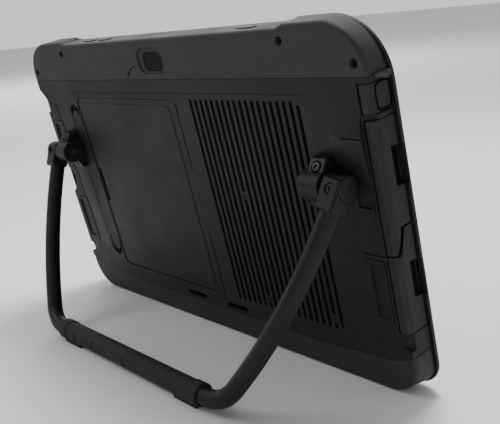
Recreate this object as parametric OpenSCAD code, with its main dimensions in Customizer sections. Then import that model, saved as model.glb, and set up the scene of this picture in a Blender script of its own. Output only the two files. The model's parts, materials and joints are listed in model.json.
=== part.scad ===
/* [Tablet] */
// Overall width across the front rim
body_w = 345; // [335:1:352]
// Overall height from the bottom edge to the corner bumpers
body_h = 212.5; // [205:0.5:225]
// Overall thickness from the rear face to the front rim
body_t = 19; // [18:0.5:22]
// Width of the flat rear face at the bumpers
rear_w = 339; // [334:0.5:342]
// How far the top edge sinks between the two corner bumpers
top_dip = 2; // [1:0.5:4]

/* [Casing] */
// Height of the seam under the top bumper
top_seam = 184.4; // [180:0.2:188]
// Height of the seam over the bottom bumper, at mid width
bottom_seam = 18.6; // [16:0.2:22]
// Thickness of the moulded walls
wall = 2.2; // [1.8:0.1:2.6]
// Width of the rear face between the side doors
waist_w = 324; // [320:1:328]

/* [Vents] */
// How many slots the vent has
slot_count = 19; // [8:1:19]
// Distance from one slot to the next
slot_pitch = 5.13; // [4.5:0.01:5.13]
// Width of one slot
slot_w = 2.3; // [1.6:0.1:2.8]
// Height of one slot
slot_h = 140; // [120:1:142]

/* [Battery] */
// Width of the battery cover
cover_w = 121.6; // [110:0.2:124]
// Height of the battery cover
cover_h = 139.8; // [120:0.2:141]

/* [Bail] */
// Half the distance between the legs at the hinges
bail_half = 148; // [146:0.5:150]
// Height of the hinge axis over the bottom edge
hinge_z = 130.1; // [125:0.1:134]
// Distance of the hinge axis behind the rear face
hinge_out = 9.8; // [9:0.1:11]
// Angle between the swung bail and the rear face, in degrees
bail_angle = 32.9; // [28:0.1:45]
// Radius of the bow of each leg
leg_r = 298; // [280:1:310]
// Inward tilt of a leg at its hinge, in degrees
leg_tilt_top = 8.3; // [7:0.1:9]
// Inward tilt of a leg at its lower corner, in degrees
leg_tilt_low = 32.5; // [30:0.5:34]
// Radius of the lower corners, to the middle of the tube
corner_r = 23.4; // [18:0.2:28]
// Radius of the bail tube
tube_r = 5.5; // [4.5:0.1:6]
// Radius of the rubber sleeve on the cross-bar
sleeve_r = 6.6; // [6.2:0.1:7]
// Distance from the middle of the cross-bar to the soles of its feet
foot_h = 8; // [7.6:0.1:9]

/* [Hidden] */
eps = 0.01;
gap = 0.3;
edge_cut = 3;
rim_y = 15.5;
rear_r = 25;
front_top_r = 33;
front_low_r = 16;
dip_half = 112;
side_y = 4;
side_w = 339.6;
rim_side_w = 341.4;
seam_rise = [[100, 0], [155, 4], [170, 9], [180, 11]];

// Battery cover, latches and bay
cover_x = -114.4;
cover_z = 31;
cover_t = 1.8;
bay_in = 4;
bay_depth = 9.4;
latch_x = -122;
latch_z = [155.7, 46.8];
latch_w = 12;
latch_l = 19;
latch_travel = 4.4;

// Vent
vent_x = 28.2;
vent_z = 31.8;
rib_z = 114;
vent_screws = [[59.6, 111.1], [114.9, 114.9], [59.6, 38.6], [114.9, 38.6]];
heat_plate_y = 7;

// Ramp over the upper strap clip
ramp_x = [141.2, 162];
ramp_z = 154;
ramp_h = 2.8;

// Front camera and speakers
camera_z = 194.5;
speaker_z = 9.6;

// Hinge and bail
axle_r = 2.5;
axle_fit = 0.05;
block_x = 126;
block_w = 14.5;
washer_x = 140.8;
end_x = 141.7;
end_w = 13.9;
barrel_r = 7;
tube_from = leg_tilt_top + 2.4;
bow = [bail_half - leg_r * cos(leg_tilt_top), leg_r * sin(leg_tilt_top)];
corner = bow + (leg_r - corner_r) * [cos(leg_tilt_low), -sin(leg_tilt_low)];
bail_l = corner_r - corner.y;
bar_half = corner.x;
sleeve_half = 80;
foot_x = 66.5;
foot_w = 22;
foot_d = 9;
tube_sides = 20;

// The part leans back until its bottom edge and the feet stand on one plane
bar_y = hinge_out + bail_l * sin(bail_angle);
bar_z = hinge_z - bail_l * cos(bail_angle);
lean = acos(foot_h / norm([bar_z, bar_y + edge_cut])) - atan2(bar_y + edge_cut, bar_z);
lift = -edge_cut * sin(lean);
rear_reach = bar_y * cos(lean) + bar_z * sin(lean) + sleeve_r + 0.8;
front_reach = body_t * cos(lean) - 7 * sin(lean);
shift = (rear_reach - front_reach) / 2;

// Doors
door_t = 2.4;
door_axis = [164.3, 1.5];
door_knuckle_r = 1.2;
door_pin_r = 0.6;
right_doors = [[88.8, 162.4], [42, 103.6]];
seam_turns = [4.6, 9.4];
seam_slack = 1.8;
tongue_t = 0.9;
left_doors = [[113.2, 158], [41, 89.4]];
notch_z = 101.3;
notch_r = 11.4;
hatch_z = [165.6, 181];
scoop_l = 21;
scoop_z = [136, 72];

// Buttons
top_buttons = [84, -64, -84];
front_keys = [128, 106, 84];
key_x = -166.5;

// ---- Frames of reference ----

// Stands the upright tablet on its bottom edge and leans it back
module stand() translate([0, shift, lift]) rotate([lean, 0, 0]) children();

// The swung bail: its origin is on the hinge axis and its legs run down -Z
module swung() stand() translate([0, -hinge_out, hinge_z]) rotate([-bail_angle, 0, 0]) children();

// A flat outline in width and height, made solid from depth y0 to depth y1
module slab(y0, y1) translate([0, y1, 0]) rotate([90, 0, 0]) linear_extrude(y1 - y0) children();

module both_sides() {
    children();
    mirror([1, 0, 0]) children();
}

// ---- Outlines ----

// Rectangle with one radius at its top corners and one at its bottom corners
module outline(w, z0, z1, top_r, low_r) {
    for (s = [-1, 1]) {
        translate([s * (w / 2 - top_r), z1 - top_r]) circle(top_r, $fn = 64);
        translate([s * (w / 2 - low_r), z0 + low_r]) circle(low_r, $fn = 48);
    }
    translate([-w / 2, z0 + low_r]) square([w, z1 - z0 - top_r - low_r]);
    translate([-w / 2 + top_r, z1 - top_r - eps]) square([w - 2 * top_r, top_r + eps]);
    translate([-w / 2 + low_r, z0]) square([w - 2 * low_r, low_r + eps]);
}

module rounded(w, h, r) outline(w, -h / 2, h / 2, r, r);

module pill(w, h) {
    r = min(w, h) / 2;
    for (s = [-1, 1]) translate(w > h ? [s * (w / 2 - r), 0] : [0, s * (h / 2 - r)]) circle(r, $fn = 40);
    if (w != h) square(w > h ? [w - 2 * r, h] : [w, h - 2 * r], center = true);
}

// Everything above the seam of the bottom bumper; drop moves the seam down
module above_seam(drop) {
    rise = [for (p = seam_rise) [p.x, p.y + bottom_seam - drop]];
    fall = [for (i = [len(rise) - 1:-1:0]) [-rise[i].x, rise[i].y]];
    polygon(concat(rise, [[180, 240], [-180, 240]], fall));
}

// ---- Shells ----

// The whole body between the rear face and the rim, swept from the rear outline to the front one
module body_loft(inset) hull() {
    slab(inset, inset + eps)
        outline(rear_w - 2 - 2 * inset, 1.5 + inset, body_h - 2 - inset, rear_r - 1, 20);
    slab(edge_cut, edge_cut + eps)
        outline(rear_w + 1.5 - 2 * inset, inset, body_h - inset, rear_r + 2, 22);
    slab(rim_y - eps, rim_y)
        outline(rim_side_w - 2 * inset, inset, body_h - inset, front_top_r - 2, front_low_r);
}

module top_dip_cut(y0, y1) slab(y0, y1)
    polygon([[-dip_half - 8, body_h + 1], [-dip_half, body_h - top_dip], [dip_half, body_h - top_dip],
        [dip_half + 8, body_h + 1]]);

// Cross-section of the casing between the bumpers, in width and depth
module waist(w, inset) polygon([[-w / 2 + inset, inset], [w / 2 - inset, inset],
    [side_w / 2 - inset, side_y + inset / 2], [rim_side_w / 2 - inset, rim_y + eps],
    [-rim_side_w / 2 + inset, rim_y + eps], [-side_w / 2 + inset, side_y + inset / 2]]);

module casing_solid() intersection() {
    union() {
        linear_extrude(top_seam) waist(waist_w, 0);
        intersection() {
            linear_extrude(top_seam) waist(rear_w, 0);
            slab(-1, rim_y) both_sides() {
                polygon([[150, top_seam], [159, top_seam - 18], [175, top_seam - 2], [175, top_seam]]);
                polygon([[150, 20], [159, 35], [176, 30], [176, 20]]);
            }
        }
    }
    slab(-2, rim_y) above_seam(0);
}

// Low wedge behind the right doors, highest at the seam over the upper strap clip
module ramp() translate([ramp_x[0], 0, 0]) rotate([90, 0, 90]) linear_extrude(ramp_x[1] - ramp_x[0])
    polygon([[0.5, ramp_z + 11.6], [0, ramp_z + 11.6], [-ramp_h, ramp_z + 4], [-ramp_h, ramp_z - 3],
        [0, ramp_z - 36], [0.5, ramp_z - 36]]);

// The room inside the casing
module casing_room() {
    intersection() {
        translate([0, 0, wall]) linear_extrude(top_seam - 2 * wall) waist(waist_w - 14, wall);
        slab(-1, rim_y + 1) above_seam(-wall);
    }
}

module at_cover() translate([cover_x + cover_w / 2, 0, cover_z + cover_h / 2]) children();

module at_latches() for (z = latch_z) translate([latch_x, 0, z]) children();

module slots() for (i = [0:slot_count - 1]) {
    short = i == slot_count - 1 ? 4 : 0;
    translate([vent_x + i * slot_pitch, vent_z + slot_h / 2]) pill(slot_w, slot_h - short);
}

// Profile of a side door, in width and depth; thinner for the door, thicker for its seat
module door_profile(t, spare) polygon([[door_axis.x, 0.3 - spare], [door_axis.x + 3.4, 0.5 - spare],
    [side_w / 2, side_y - spare],
    [rim_side_w / 2 + spare, rim_y - gap + spare], [rim_side_w / 2 - t, rim_y - gap + spare],
    [side_w / 2 - t, side_y + 1.3], [door_axis.x, door_axis.y + door_knuckle_r + spare / 2]]);

module door_seat(z0, z1) translate([0, 0, z0 - gap]) linear_extrude(z1 - z0 + 2 * gap) union() {
    door_profile(door_t + gap, gap);
    translate(door_axis) circle(door_knuckle_r + gap, $fn = 32);
    translate([door_axis.x, -1]) square([9, 5.2]);
    translate([door_axis.x - 1.7, -1]) square([3, door_axis.y + 1]);
}

// Scoop beside the rim that a finger pulls a door by
module scoop(z) translate([184.8, rim_y, z - scoop_l / 2]) cylinder(r = 16, h = scoop_l, $fn = 64);

module rear_casing() color("#2b2c2e") stand() difference() {
    union() {
        casing_solid();
        ramp();
    }
    difference() {
        casing_room();
        // Walls left standing around the battery bay, behind the latches and along the doors
        at_cover() slab(0, bay_depth) square([cover_w + 2, cover_h + 2], center = true);
        at_latches() slab(0, 4.6) square([latch_w + 6, latch_l + 6], center = true);
        slab(0, 3.4) translate([ramp_x[0] - 2, 84]) square([30, 100]);
        both_sides() translate([153, 0, 0]) cube([30, rim_y + 2, top_seam]);
    }
    // Opening in front of the end walls for the display
    slab(11.3, rim_y + 1) outline(299, 20, 190, 1, 1);
    // Battery bay with a ledge for the cover
    at_cover() slab(-1, cover_t + 0.4) rounded(cover_w + 2 * gap, cover_h + 2 * gap, 6 + gap);
    at_cover() slab(0, bay_depth - 1.2) rounded(cover_w - 2 * bay_in, cover_h - 2 * bay_in, 3);
    translate([cover_x + 1.2, 0, cover_z + 55]) slab(-1, 5) square([3.6, 29]);
    // Panel grooves beside the cover
    for (z = [cover_z + 2, cover_z + cover_h - 47])
        translate([cover_x + cover_w + 4.2, 0, z]) slab(-1, 0.7) square([0.7, 45]);
    slab(-1, 0.4) translate([cover_x, top_seam - 9.2]) square([238, 0.6]);
    slab(-1, 0.5) translate([-149.6, 40]) square([0.8, 125]);
    slab(-1, 0.5) translate([-130, 40]) square([0.7, 125]);
    // Seams over the strap clips
    for (p = [[ramp_x[0] + 8, ramp_z, -ramp_h], [ramp_x[0] + 6, 88.4, 0]])
        slab(p[2] - 1, p[2] + 0.9) translate([p[0], p[1] - 0.4]) square([waist_w / 2 + 2 - p[0], 0.8]);
    // Latch tracks
    at_latches() {
        slab(-1, 1.8) pill(latch_w, latch_l);
        slab(-1, 6) pill(3.4, 15.4);
    }
    // Vent, with the posts of its screws left standing
    difference() {
        slab(-1, wall + 1) slots();
        for (p = vent_screws) translate([p.x, 0, p.y]) slab(-2, wall + 2) circle(3, $fn = 32);
    }
    for (p = vent_screws) translate([p.x, 0, p.y]) slab(-1, 1.2) circle(2, $fn = 32);
    // Dock slots
    both_sides() slab(-1, wall + 4) translate([22.3, 23]) rounded(20.8, 3.8, 1);
    // Finger notch on the left edge
    translate([-168.6, -1, notch_z]) rotate([-90, 0, 0]) cylinder(r = notch_r, h = 12.5, $fn = 64);
    // Seats and ports of the side doors
    door_seat(right_doors[1][0], right_doors[0][1]);
    for (d = left_doors) mirror([1, 0, 0]) door_seat(d[0], d[1]);
    door_seat(hatch_z[0], hatch_z[1]);
    for (z = [72, 136]) translate([0, 0, z]) port_room(40);
    for (z = [65, 134]) mirror([1, 0, 0]) translate([0, 0, z]) port_room(30);
    // Wells for the strap clips
    both_sides() for (z = [66, 132]) slab(-1, 1.6) translate([154.5, z]) rounded(13.4, 39, 1.5);
    // Holes for the door pins and the hinge screws
    for (p = pin_spans()) mirror([p[2], 0, 0]) door_axle(p[0] - 2, p[1] + 2, door_pin_r);
    both_sides() translate(block_screw()) rotate([90, 0, 0]) translate([0, 0, -4])
        cylinder(r = 1.3, h = 4, $fn = 32);
}

module port_room(l) translate([152, 4.6, -l / 2]) cube([20, 9.4, l]);

// Head seat of a hinge block's lower screw
function block_screw() = [block_x + 7.5, -1, hinge_z - 11.6];

function pin_spans() = [
    [right_doors[1][0], right_doors[0][1], 0],
    [left_doors[0][0], left_doors[0][1], 1], [left_doors[1][0], left_doors[1][1], 1],
    [hatch_z[0], hatch_z[1], 0]];

module door_axle(z0, z1, r) translate([door_axis.x, door_axis.y, z0]) cylinder(r = r, h = z1 - z0, $fn = 24);

module top_bumper() color("#343536") stand() difference() {
    intersection() {
        body_loft(0);
        slab(-1, rim_y) translate([-180, top_seam + 0.2]) square([360, 40]);
    }
    top_dip_cut(-1, rim_y + 1);
    // Hollow behind the band
    intersection() {
        translate([0, 0.6, 0]) body_loft(wall + 0.4);
        slab(-1, rim_y + 1) translate([-180, top_seam - 1]) square([360, 25]);
    }
    // Camera window recess, camera bore and screw wells
    translate([-2.6, 0, 196.4]) slab(-1, 1.4) rounded(30, 17, 7);
    translate([-2.6, 0, 195.6]) slab(-1, 4) rounded(20.6, 12.6, 5);
    for (p = bumper_screw_spots()) translate([p.x, 0, p.y]) slab(-1, 4.4) circle(2.3, $fn = 32);
    for (x = top_buttons) translate([x, 9, 200]) linear_extrude(20) pill(x > 0 ? 15 : 13, 5.6);
}

function bumper_screw_spots() = [[-163.3, 191.2], [-116, 204], [116, 204], [163.3, 191.2]];

module bottom_bumper() color("#343536") stand() difference() {
    body_loft(0);
    slab(-2, rim_y + 1) above_seam(0.2);
    intersection() {
        translate([0, 0.8, 0]) body_loft(wall + 0.4);
        slab(-1, rim_y + 1) above_seam(14);
    }
}

module front_bezel() color("#232426") stand() difference() {
    union() {
        slab(rim_y, body_t - 1.2) outline(body_w, 0, body_h, front_top_r, front_low_r);
        slab(body_t - 1.2, body_t)
            outline(body_w - 2.4, 1.2, body_h - 1.2, front_top_r - 1.2, front_low_r - 1.2);
    }
    top_dip_cut(-1, body_t + 1);
    slab(body_t - 1.8, body_t + 1) outline(318.6, 15.2, 198.8, 5, 5);
    slab(rim_y - 1, body_t) outline(300, 20, 190, 2, 2);
    slab(rim_y - 1, rim_y + 0.85) gasket_ring(0.4);
    for (z = scoop_z) intersection() {
        scoop(z);
        slab(rim_y - 1, rim_y + 1.1) translate([160, z - 30]) square([30, 60]);
    }
    translate([0, 0, camera_z]) slab(rim_y - 1, body_t - 1.7) circle(2.8, $fn = 32);
    for (z = front_keys) translate([key_x, 0, z]) slab(rim_y - 1, body_t + 1) circle(5.1, $fn = 40);
    for (x = [-60, 60]) translate([x, 0, speaker_z]) slab(body_t - 1, body_t + 1) pill(34, 3);
}

module touch_glass() color("#0c0d0f") stand() slab(body_t - 1.7, body_t - 0.4)
    outline(318, 15.5, 198.5, 4.7, 4.7);

module display_panel() color("#15171a") stand() slab(11.6, body_t - 1.9) outline(298, 21, 189, 1, 1);

module gasket_ring(spare) difference() {
    outline(332 + spare, 8 - spare, body_h - 9 + spare, 30, 14);
    outline(327 - spare, 10.5 + spare, body_h - 11.5 - spare, 27, 11);
}

module bezel_gasket() color("#111111") stand() slab(rim_y + 0.05, rim_y + 0.8) gasket_ring(0);

module mid_frame() color("#8b8f93") stand() difference() {
    slab(9.8, 10.8) outline(300, 24, 180, 3, 3);
    for (x = [-100, -50, 0, 50, 100]) translate([x, 0, 100]) slab(9, 12) rounded(24, 90, 6);
}

module main_board() color("#1c5c38") stand() {
    translate([18, 8, 40]) cube([128, 1.4, 128]);
    translate([60, 7.1, 90]) cube([26, 0.9, 26]);
    translate([100, 7.1, 60]) cube([16, 0.9, 16]);
}

module storage_card() color("#20437a") stand() translate([28, 7.1, 128]) cube([22, 0.8, 36]);

module radio_card() color("#20437a") stand() translate([100, 7.1, 126]) cube([30, 0.8, 22]);

module heat_sink() color("#6d7276") stand() {
    translate([vent_x - 1, heat_plate_y - 1.2, 50]) cube([96, 1.2, 106]);
    for (i = [0:slot_count - 2]) translate([vent_x + (i + 0.5) * slot_pitch - 0.4, wall + 1.4, 50])
        cube([0.8, heat_plate_y - wall - 2.5, 106]);
}

module vent_screen() color("#050505") stand() {
    slab(wall + 0.1, wall + 0.5) translate([vent_x - 3, vent_z - 3])
        square([slot_pitch * slot_count + 2, slot_h + 6]);
    slab(wall + 0.4, wall + 1.2) translate([vent_x - 2, rib_z - 0.8]) square([slot_pitch * slot_count, 1.6]);
}

module battery_pack() color("#26282b") stand() at_cover() difference() {
    slab(cover_t + 0.8, bay_depth - 1.5) rounded(cover_w - 2 * bay_in - 1, cover_h - 2 * bay_in - 1, 3);
    translate([-cover_w / 2 + 12, 0, 0]) slab(0, cover_t + 1.6) rounded(9, 30, 4);
}

module battery_contacts() color("#c9a24a") stand() for (i = [0:5])
    translate([cover_x + 16 + i * 6, bay_depth - 1.45, cover_z + 10]) cube([3, 0.25, 9]);

module battery_cover() color("#303133") stand() at_cover() difference() {
    slab(0.2, 0.2 + cover_t) rounded(cover_w, cover_h, 6);
    slab(-1, 0.6) difference() {
        rounded(cover_w + 1, cover_h + 1, 6);
        rounded(cover_w - 8, cover_h - 8, 4);
    }
    translate([-cover_w / 2 + 3, 0, -0.4]) slab(-1, 4) pill(3.6, 28.4);
}

// Sliding latch: thumb piece, stem through the track and a bolt inside the wall
module latch(z, sense) color("#3a3b3d") stand() translate([latch_x, 0, z - sense * latch_travel / 2]) {
    difference() {
        slab(0.1, 1.6) pill(10.6, 13.8);
        for (i = [-1.5:1.5]) translate([0, 0, i * 2.4]) slab(-1, 0.5) square([6.4, 0.8], center = true);
    }
    slab(1.5, 5) square([2.8, 5], center = true);
    slab(4.8, 6) translate([0.8, 0]) square([7, 6.4], center = true);
}

module upper_latch() latch(latch_z[0], 1);

module lower_latch() latch(latch_z[1], -1);

module camera_module() color("#1a1a1c") stand() translate([-2.6, 0, 195.6]) {
    slab(4.4, 9) square([15, 9.4], center = true);
    translate([2.5, 0, 0]) slab(3.2, 4.5) circle(3.4, $fn = 40);
}

module camera_window() color("#07080a") stand() translate([-2.6, 0, 195.6])
    slab(2, 3) rounded(20.2, 12.2, 4.8);

module front_camera() color("#101113") stand() translate([0, 0, camera_z])
    slab(14.2, body_t - 1.8) circle(2.6, $fn = 32);

module antennas() color("#b8860b") stand() both_sides() translate([70, 11, 189]) cube([46, 0.6, 12]);

module speakers() color("#151515") stand() both_sides() translate([60, 0, speaker_z])
    slab(11, rim_y - 0.2) rounded(32, 6.4, 3);

module dock_contacts() color("#c9a24a") stand() both_sides() {
    translate([22.3, 0, 23]) slab(wall + 1.2, wall + 2) rounded(19.6, 3.4, 0.8);
    for (i = [-3:3]) translate([22.3 + i * 2.5, 0, 23]) slab(wall + 0.4, wall + 1.3) circle(0.7, $fn = 24);
}

// A slim socket, mouth outwards
module socket(z, w, h) translate([156, 9.2, z]) difference() {
    translate([0, -h / 2 - 0.8, -w / 2 - 0.8]) cube([10, h + 1.6, w + 1.6]);
    translate([3, -h / 2, -w / 2]) cube([8, h, w]);
}

module right_ports() color("#9a9da0") stand() {
    for (z = [126, 144]) socket(z, 8.6, 2.8);
    for (z = [60, 82]) socket(z, 11, 3);
}

module left_ports() color("#9a9da0") stand() mirror([1, 0, 0]) {
    for (z = [126, 142]) socket(z, 11.4, 1.8);
    socket(66, 12, 3);
}

module door_pins() color("#b5b8bb") stand()
    for (p = pin_spans()) mirror([p[2], 0, 0]) door_axle(p[0] - 2, p[1] + 2, door_pin_r);

// Rubber clips that hold the door straps, on the rear face
module strap_clips() color("#262729") stand() both_sides() for (z = [66, 132]) translate([154.5, 0, z])
    difference() {
        slab(-0.4, 1.5) rounded(13, 38.6, 1.3);
        translate([1, 0, 0]) slab(-1, 0.6) rounded(9, 33, 1);
    }

// Side door with its hinge knuckle
module door(z0, z1) difference() {
    union() {
        translate([0, 0, z0]) linear_extrude(z1 - z0) door_profile(door_t, 0);
        door_axle(z0, z1, door_knuckle_r);
    }
    door_axle(z0 - 1, z1 + 1, door_pin_r + axle_fit);
}

// Everything above (sense 1) or below (sense -1) the stepped seam between the right doors
module beyond_seam(sense) rotate([90, 0, 90]) linear_extrude(400, center = true) {
    low = right_doors[0][0] + sense * gap;
    high = right_doors[1][1] + sense * gap;
    back = sense > 0 ? seam_slack : 0;
    polygon([[-5, low], [seam_turns[0] - back, low], [seam_turns[1] - back, high], [40, high], [40, sense * 300],
        [-5, sense * 300]]);
}

module right_upper_door() color("#2f3032") stand() intersection() {
    difference() {
        door(right_doors[0][0], right_doors[0][1]);
        scoop(scoop_z[0]);
    }
    beyond_seam(1);
}

module right_lower_door() color("#2f3032") stand() intersection() {
    difference() {
        union() {
            door(right_doors[1][0], right_doors[0][0]);
            // Thin tongue along the rim, up to the seam
            translate([0, 0, right_doors[0][0] - eps]) linear_extrude(right_doors[1][1] - right_doors[0][0])
                door_profile(tongue_t, 0);
        }
        scoop(scoop_z[1]);
    }
    beyond_seam(-1);
}

module left_upper_door() color("#2f3032") stand() mirror([1, 0, 0])
    difference() {
        door(left_doors[0][0], left_doors[0][1]);
        translate([168.6, -1, notch_z]) rotate([-90, 0, 0]) cylinder(r = notch_r + 1, h = 12.5, $fn = 64);
    }

module left_lower_door() color("#2f3032") stand() mirror([1, 0, 0])
    difference() {
        door(left_doors[1][0], left_doors[1][1]);
        translate([168.6, -1, notch_z]) rotate([-90, 0, 0]) cylinder(r = notch_r + 1, h = 12.5, $fn = 64);
    }

module hatch() color("#2a2b2d") stand() door(hatch_z[0], hatch_z[1]);

// Seat of the upper screw, facing out and up from the slanted flange
module at_flange() translate([block_x + 9, -8.8, hinge_z + 9.8]) rotate([52, 0, 0]) children();

module axle_bore(r) translate([block_x - 20, -hinge_out, hinge_z]) rotate([0, 90, 0])
    cylinder(r = r, h = 80, $fn = 48);

// Hinge block, screwed to the rear face: a bearing, a foot and a slanted flange over it
module hinge_block() color("#1d1e20") difference() {
    union() {
        translate([block_x, -hinge_out, hinge_z]) rotate([0, 90, 0]) cylinder(r = 8.2, h = block_w, $fn = 64);
        translate([block_x, -hinge_out, hinge_z - 8.2]) cube([block_w, hinge_out, 16.4]);
        translate([block_x + 3.5, 0, 0]) rotate([90, 0, 90]) linear_extrude(block_w - 3.5)
            polygon([[0, hinge_z], [-14.6, hinge_z + 5.4], [-12.4, hinge_z + 6.6], [-6.6, hinge_z + 14],
                [0, hinge_z + 14]]);
        translate([block_x + 2, 0, 0]) rotate([90, 0, 90]) linear_extrude(11)
            polygon([[0, hinge_z], [-8, hinge_z - 7], [-4, hinge_z - 15], [0, hinge_z - 15]]);
    }
    axle_bore(axle_r + axle_fit);
    // Slanted seat of the upper screw
    at_flange() cylinder(r = 3, h = 6, $fn = 40);
    at_flange() translate([0, 0, -7]) cylinder(r = 1.3, h = 9, $fn = 32);
    translate(block_screw()) rotate([90, 0, 0]) translate([0, 0, -2]) cylinder(r = 1.3, h = 20, $fn = 32);
}

module right_hinge_block() stand() hinge_block();

module left_hinge_block() stand() mirror([1, 0, 0]) hinge_block();

module hinge_washers() color("#c0c2c4") swung() both_sides() translate([washer_x, 0, 0]) rotate([0, 90, 0])
    difference() {
        cylinder(r = 5.6, h = 0.9, $fn = 48);
        translate([0, 0, -1]) cylinder(r = axle_r, h = 3, $fn = 48);
    }

module hinge_axles() color("#b5b8bb") swung() both_sides() translate([block_x + 1, 0, 0]) rotate([0, 90, 0])
    cylinder(r = axle_r, h = 25, $fn = 48);

// Cast end of a leg: barrel, shank with a flat pad on its outer side, and a socket for the tube
module bail_end() color("#1f2022") difference() {
    union() {
        translate([end_x, 0, 0]) rotate([0, 90, 0]) cylinder(r = barrel_r, h = end_w, $fn = 64);
        translate([bail_half, 0, 0]) rotate([0, leg_tilt_top + 1.2, 0]) {
            translate([-6.2, -6.2, -13]) cube([12.4, 12, 13]);
            translate([-5.6, -7.4, -12.2]) cube([11.2, 2, 16]);
        }
    }
    translate([end_x - 20, -20, -30]) cube([20, 40, 60]);
    translate([end_x - 1, 0, 0]) rotate([0, 90, 0]) cylinder(r = axle_r, h = 11.5, $fn = 48);
    translate([bail_half + 0.2, 0, -1.6]) rotate([90, 0, 0]) cylinder(r = 2.8, h = 10, $fn = 40);
}

module right_bail_end() swung() bail_end();

module left_bail_end() swung() mirror([1, 0, 0]) bail_end();

// Stations along an arc of the bent tube: the middle of the tube, and the tilt of its outward side
function stations(centre, r, a0, a1, count) =
    [for (i = [0:count]) let (a = a0 + (a1 - a0) * i / count) [centre + r * [cos(a), -sin(a)], a]];

function half_run() = concat(stations(bow, leg_r, tube_from, leg_tilt_low - 1, 12),
    stations(corner, corner_r, leg_tilt_low, 90, 9));

function tube_ring(at) = [for (j = [0:tube_sides - 1]) let (b = 360 * j / tube_sides)
    [at[0].x + tube_r * cos(b) * cos(at[1]), tube_r * sin(b), at[0].y - tube_r * cos(b) * sin(at[1])]];

// One bent tube, swept along its right half and back up the mirrored left half
module bail_tube() color("#2c2d2f") swung() {
    run = half_run();
    back = [for (i = [len(run) - 1:-1:0]) [[-run[i][0].x, run[i][0].y], 180 - run[i][1]]];
    rings = [for (at = concat(run, back)) tube_ring(at)];
    count = len(rings);
    ends = [[for (j = [tube_sides - 1:-1:0]) j], [for (j = [0:tube_sides - 1]) (count - 1) * tube_sides + j]];
    sides = [for (i = [0:count - 2], j = [0:tube_sides - 1], half = [0, 1])
        let (here = i * tube_sides + j, next = i * tube_sides + (j + 1) % tube_sides)
        half == 0 ? [here, next, next + tube_sides] : [here, next + tube_sides, here + tube_sides]];
    polyhedron([for (ring = rings) each ring], concat(ends, sides));
}

// Grip on the cross-bar: sleeve with a collar at each end and two long flats
module grip_sleeve() color("#242527") swung() translate([0, 0, -bail_l]) rotate([0, 90, 0]) difference() {
    union() {
        translate([0, 0, -sleeve_half]) cylinder(r = sleeve_r, h = 2 * sleeve_half, $fn = 64);
        for (s = [-1, 1]) translate([0, 0, s * (sleeve_half - 4) - 4])
            cylinder(r = sleeve_r + 0.8, h = 8, $fn = 64);
    }
    translate([0, 0, -100]) cylinder(r = tube_r, h = 200, $fn = 48);
    for (s = [-1, 1]) translate([-4, -sleeve_r - 0.6, s * 31 - 21]) cube([8, 1.2, 42]);
}

module bail_feet() color("#1b1c1e") swung() for (s = [-1, 1]) translate([s * foot_x, 0, -bail_l])
    rotate([bail_angle - lean, 0, 0]) difference() {
        translate([-foot_w / 2, -foot_d / 2, -foot_h]) cube([foot_w, foot_d, foot_h - 3]);
        translate([-foot_w, 0, 0]) rotate([0, 90, 0]) cylinder(r = sleeve_r, h = 2 * foot_w, $fn = 64);
    }

// Cap screw with a star socket, head up +Z
module screw(head_r, head_h, shank_r, shank_l) difference() {
    union() {
        cylinder(r = head_r, h = head_h, $fn = 32);
        translate([0, 0, -shank_l]) cylinder(r = shank_r, h = shank_l, $fn = 24);
    }
    translate([0, 0, head_h - 0.7]) cylinder(r = head_r * 0.45, h = 1, $fn = 6);
}

module bumper_screws() color("#77797c") stand() for (p = bumper_screw_spots())
    translate([p.x, 3.4, p.y]) rotate([90, 0, 0]) screw(2.2, 1, 1, 4);

module vent_screws() color("#55575a") stand() for (p = vent_screws)
    translate([p.x, 1.1, p.y]) rotate([90, 0, 0]) screw(1.9, 0.9, 0.8, 1);

module hinge_screws() color("#8a8c8f") stand() both_sides() {
    at_flange() screw(2.7, 1.6, 1.2, 6);
    translate(block_screw()) rotate([90, 0, 0]) screw(2, 0.8, 1.2, 3);
}

module bail_screws() color("#9a9c9f") swung() both_sides()
    translate([bail_half + 0.2, -5, -1.6]) rotate([90, 0, 0]) screw(2.7, 1.6, 1.3, 0.5);

module top_button(x, l) color("#3c3d40") stand() translate([x, 9, 205]) {
    linear_extrude(body_h - top_dip + 0.6 - 205) pill(l, 5);
    translate([-l / 2 + 0.5, -2.8, 0]) cube([l - 1, 5.6, 1.4]);
}

module power_button() top_button(top_buttons[0], 14.4);

module volume_up() top_button(top_buttons[1], 12.4);

module volume_down() top_button(top_buttons[2], 12.4);

module front_key(z) color("#3c3d40") stand() translate([key_x, 0, z]) {
    slab(rim_y + 1.9, body_t - 0.1) circle(4.8, $fn = 40);
}

module upper_key() front_key(front_keys[0]);

module middle_key() front_key(front_keys[1]);

module lower_key() front_key(front_keys[2]);

rear_casing();
front_bezel();
touch_glass();
display_panel();
bezel_gasket();
top_bumper();
bottom_bumper();
mid_frame();
main_board();
storage_card();
radio_card();
heat_sink();
vent_screen();
battery_pack();
battery_contacts();
battery_cover();
upper_latch();
lower_latch();
camera_module();
camera_window();
front_camera();
antennas();
speakers();
dock_contacts();
right_ports();
left_ports();
door_pins();
strap_clips();
right_upper_door();
right_lower_door();
left_upper_door();
left_lower_door();
hatch();
right_hinge_block();
left_hinge_block();
hinge_washers();
hinge_axles();
right_bail_end();
left_bail_end();
bail_tube();
grip_sleeve();
bail_feet();
bumper_screws();
vent_screws();
hinge_screws();
bail_screws();
power_button();
volume_up();
volume_down();
upper_key();
middle_key();
lower_key();
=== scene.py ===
import math
import json
import bmesh
import bpy
import numpy as np
from mathutils import Matrix, Vector
from mathutils.geometry import tessellate_polygon


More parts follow.
